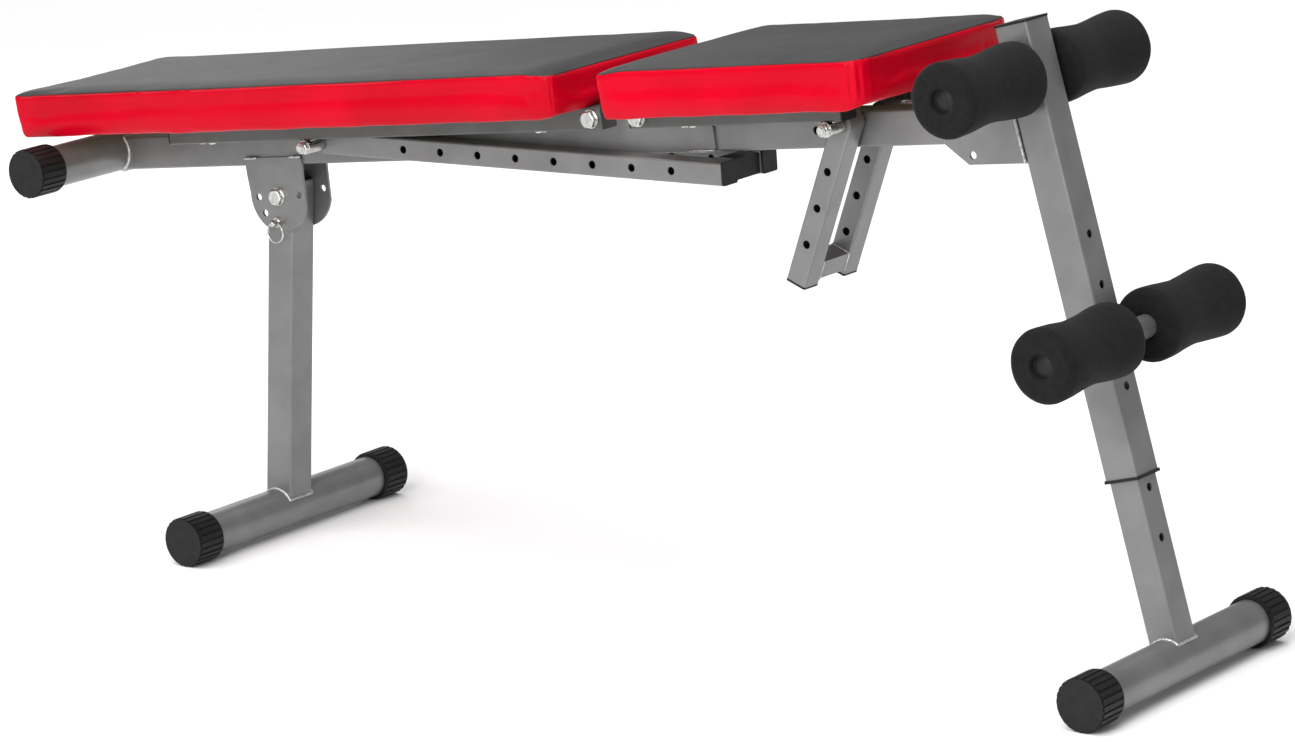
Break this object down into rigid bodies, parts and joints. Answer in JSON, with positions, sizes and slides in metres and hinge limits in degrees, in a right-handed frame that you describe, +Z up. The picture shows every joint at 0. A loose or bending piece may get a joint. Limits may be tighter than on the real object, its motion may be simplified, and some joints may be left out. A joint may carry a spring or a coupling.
{
  "type": "adjustable weight bench",
  "caption": "Folding adjustable exercise bench with a hinged backrest and seat on perforated struts, a telescopic rear post and foam leg rollers.",
  "frame": {"origin": "on the floor, on the mid-plane, half way along the bench's overall length", "axes": "+X runs from the head end to the roller end, +Y to the left of a user lying with the feet at the rollers and looking at them, +Z up"},
  "size_m": [1.5094, 0.36, 0.6788],
  "materials": {
    "silver_paint": "satin silver-grey powder coat",
    "strut_paint": "satin grey powder coat",
    "rail_paint": "satin dark grey powder coat",
    "axle_paint": "satin grey paint on round tube",
    "black_plastic": "moulded black polyethylene with a fine grain",
    "plywood": "raw plywood",
    "pad_vinyl": "grained black vinyl top with smooth red vinyl sides",
    "roller_foam": "matt closed-cell foam sleeve",
    "bush_steel": "bright welded steel bush",
    "zinc": "bright zinc plate"
  },
  "bodies": {
    "frame": {"main_beam": "silver_paint", "head_crossbar": "silver_paint", "head_caps": "black_plastic", "front_brackets": "silver_paint", "pivot_brackets": "silver_paint", "rear_bracket": "silver_paint", "post_outer": "silver_paint", "post_top_cap": "black_plastic", "post_bush": "black_plastic", "upper_axle": "axle_paint", "upper_axle_plugs": "black_plastic", "pivot_bolts": "zinc", "pivot_nuts": "zinc", "pivot_spacers": "zinc", "leg_bolt": "zinc", "leg_nut": "zinc"},
    "front_leg": {"front_leg_tube": "silver_paint", "front_foot_tube": "silver_paint", "front_foot_caps": "black_plastic"},
    "leg_pin": {"leg_lock_pin": "zinc"},
    "pin_ring": {"leg_lock_ring": "zinc"},
    "backrest": {"back_rail_left": "rail_paint", "back_rail_right": "rail_paint", "back_rail_plugs": "black_plastic", "back_rail_end_plates": "rail_paint", "back_board": "plywood", "back_pad": "pad_vinyl", "back_pad_screws": "zinc", "back_strut_bushes": "bush_steel", "back_strut_bolts": "zinc", "back_strut_nuts": "zinc"},
    "back_strut": {"back_strut_left": "strut_paint", "back_strut_right": "strut_paint", "back_strut_crossbar": "black_plastic", "back_strut_plugs": "black_plastic"},
    "seat": {"seat_rail_left": "rail_paint", "seat_rail_right": "rail_paint", "seat_rail_plugs": "black_plastic", "seat_board": "plywood", "seat_pad": "pad_vinyl", "seat_pad_screws": "zinc", "seat_strut_bushes": "bush_steel", "seat_strut_bolts": "zinc", "seat_strut_nuts": "zinc"},
    "seat_strut": {"seat_strut_left": "strut_paint", "seat_strut_right": "strut_paint", "seat_strut_crossbar": "strut_paint", "seat_strut_plugs": "black_plastic"},
    "rear_leg": {"post_inner": "silver_paint", "rear_foot_tube": "silver_paint", "rear_foot_caps": "black_plastic"},
    "roller_carriage": {"lower_axle": "axle_paint", "lower_axle_saddle": "black_plastic", "lower_axle_bolt": "zinc", "lower_axle_plugs": "black_plastic"},
    "upper_roller_left": {"upper_roller_left": "roller_foam"},
    "upper_roller_right": {"upper_roller_right": "roller_foam"},
    "lower_roller_left": {"lower_roller_left": "roller_foam"},
    "lower_roller_right": {"lower_roller_right": "roller_foam"}
  },
  "joints": [
    {"name": "leg_fold", "type": "hinge", "parent": "frame", "child": "front_leg", "pos_m": [-0.44852, 0, 0.40341], "axis": [0, 1, 0], "range_deg": [0, 78]},
    {"name": "leg_pin_pull", "type": "slide", "parent": "frame", "child": "leg_pin", "axis": [0, -1, 0], "range_m": [0, 0.045]},
    {"name": "pin_ring_swing", "type": "hinge", "parent": "leg_pin", "child": "pin_ring", "pos_m": [-0.45148, -0.028, 0.37325], "axis": [-1, 0, 0], "range_deg": [0, 80]},
    {"name": "backrest_tilt", "type": "hinge", "parent": "frame", "child": "backrest", "pos_m": [0.05718, 0, 0.54425], "axis": [0, 1, 0], "range_deg": [0, 70]},
    {"name": "back_strut_swing", "type": "hinge", "parent": "backrest", "child": "back_strut", "pos_m": [-0.35505, 0, 0.4782], "axis": [0, 1, 0], "range_deg": [0, 30]},
    {"name": "seat_tilt", "type": "hinge", "parent": "frame", "child": "seat", "pos_m": [0.12079, 0, 0.55131], "axis": [0, -1, 0], "range_deg": [0, 18]},
    {"name": "seat_strut_swing", "type": "hinge", "parent": "seat", "child": "seat_strut", "pos_m": [0.36553, 0, 0.55813], "axis": [0, 1, 0], "range_deg": [-15, 24]},
    {"name": "rear_leg_slide", "type": "slide", "parent": "frame", "child": "rear_leg", "axis": [-0.2509, 0, 0.968], "range_m": [0, 0.1054]},
    {"name": "roller_height", "type": "slide", "parent": "frame", "child": "roller_carriage", "axis": [-0.2509, 0, 0.968], "range_m": [-0.0527, 0.1054]},
    {"name": "upper_roller_left_spin", "type": "hinge", "parent": "frame", "child": "upper_roller_left", "pos_m": [0.57289, 0, 0.61996], "axis": [0, 1, 0], "continuous": true},
    {"name": "upper_roller_right_spin", "type": "hinge", "parent": "frame", "child": "upper_roller_right", "pos_m": [0.57289, 0, 0.61996], "axis": [0, 1, 0], "continuous": true},
    {"name": "lower_roller_left_spin", "type": "hinge", "parent": "roller_carriage", "child": "lower_roller_left", "pos_m": [0.68058, 0, 0.36389], "axis": [0, 1, 0], "continuous": true},
    {"name": "lower_roller_right_spin", "type": "hinge", "parent": "roller_carriage", "child": "lower_roller_right", "pos_m": [0.68058, 0, 0.36389], "axis": [0, 1, 0], "continuous": true}
  ]
}
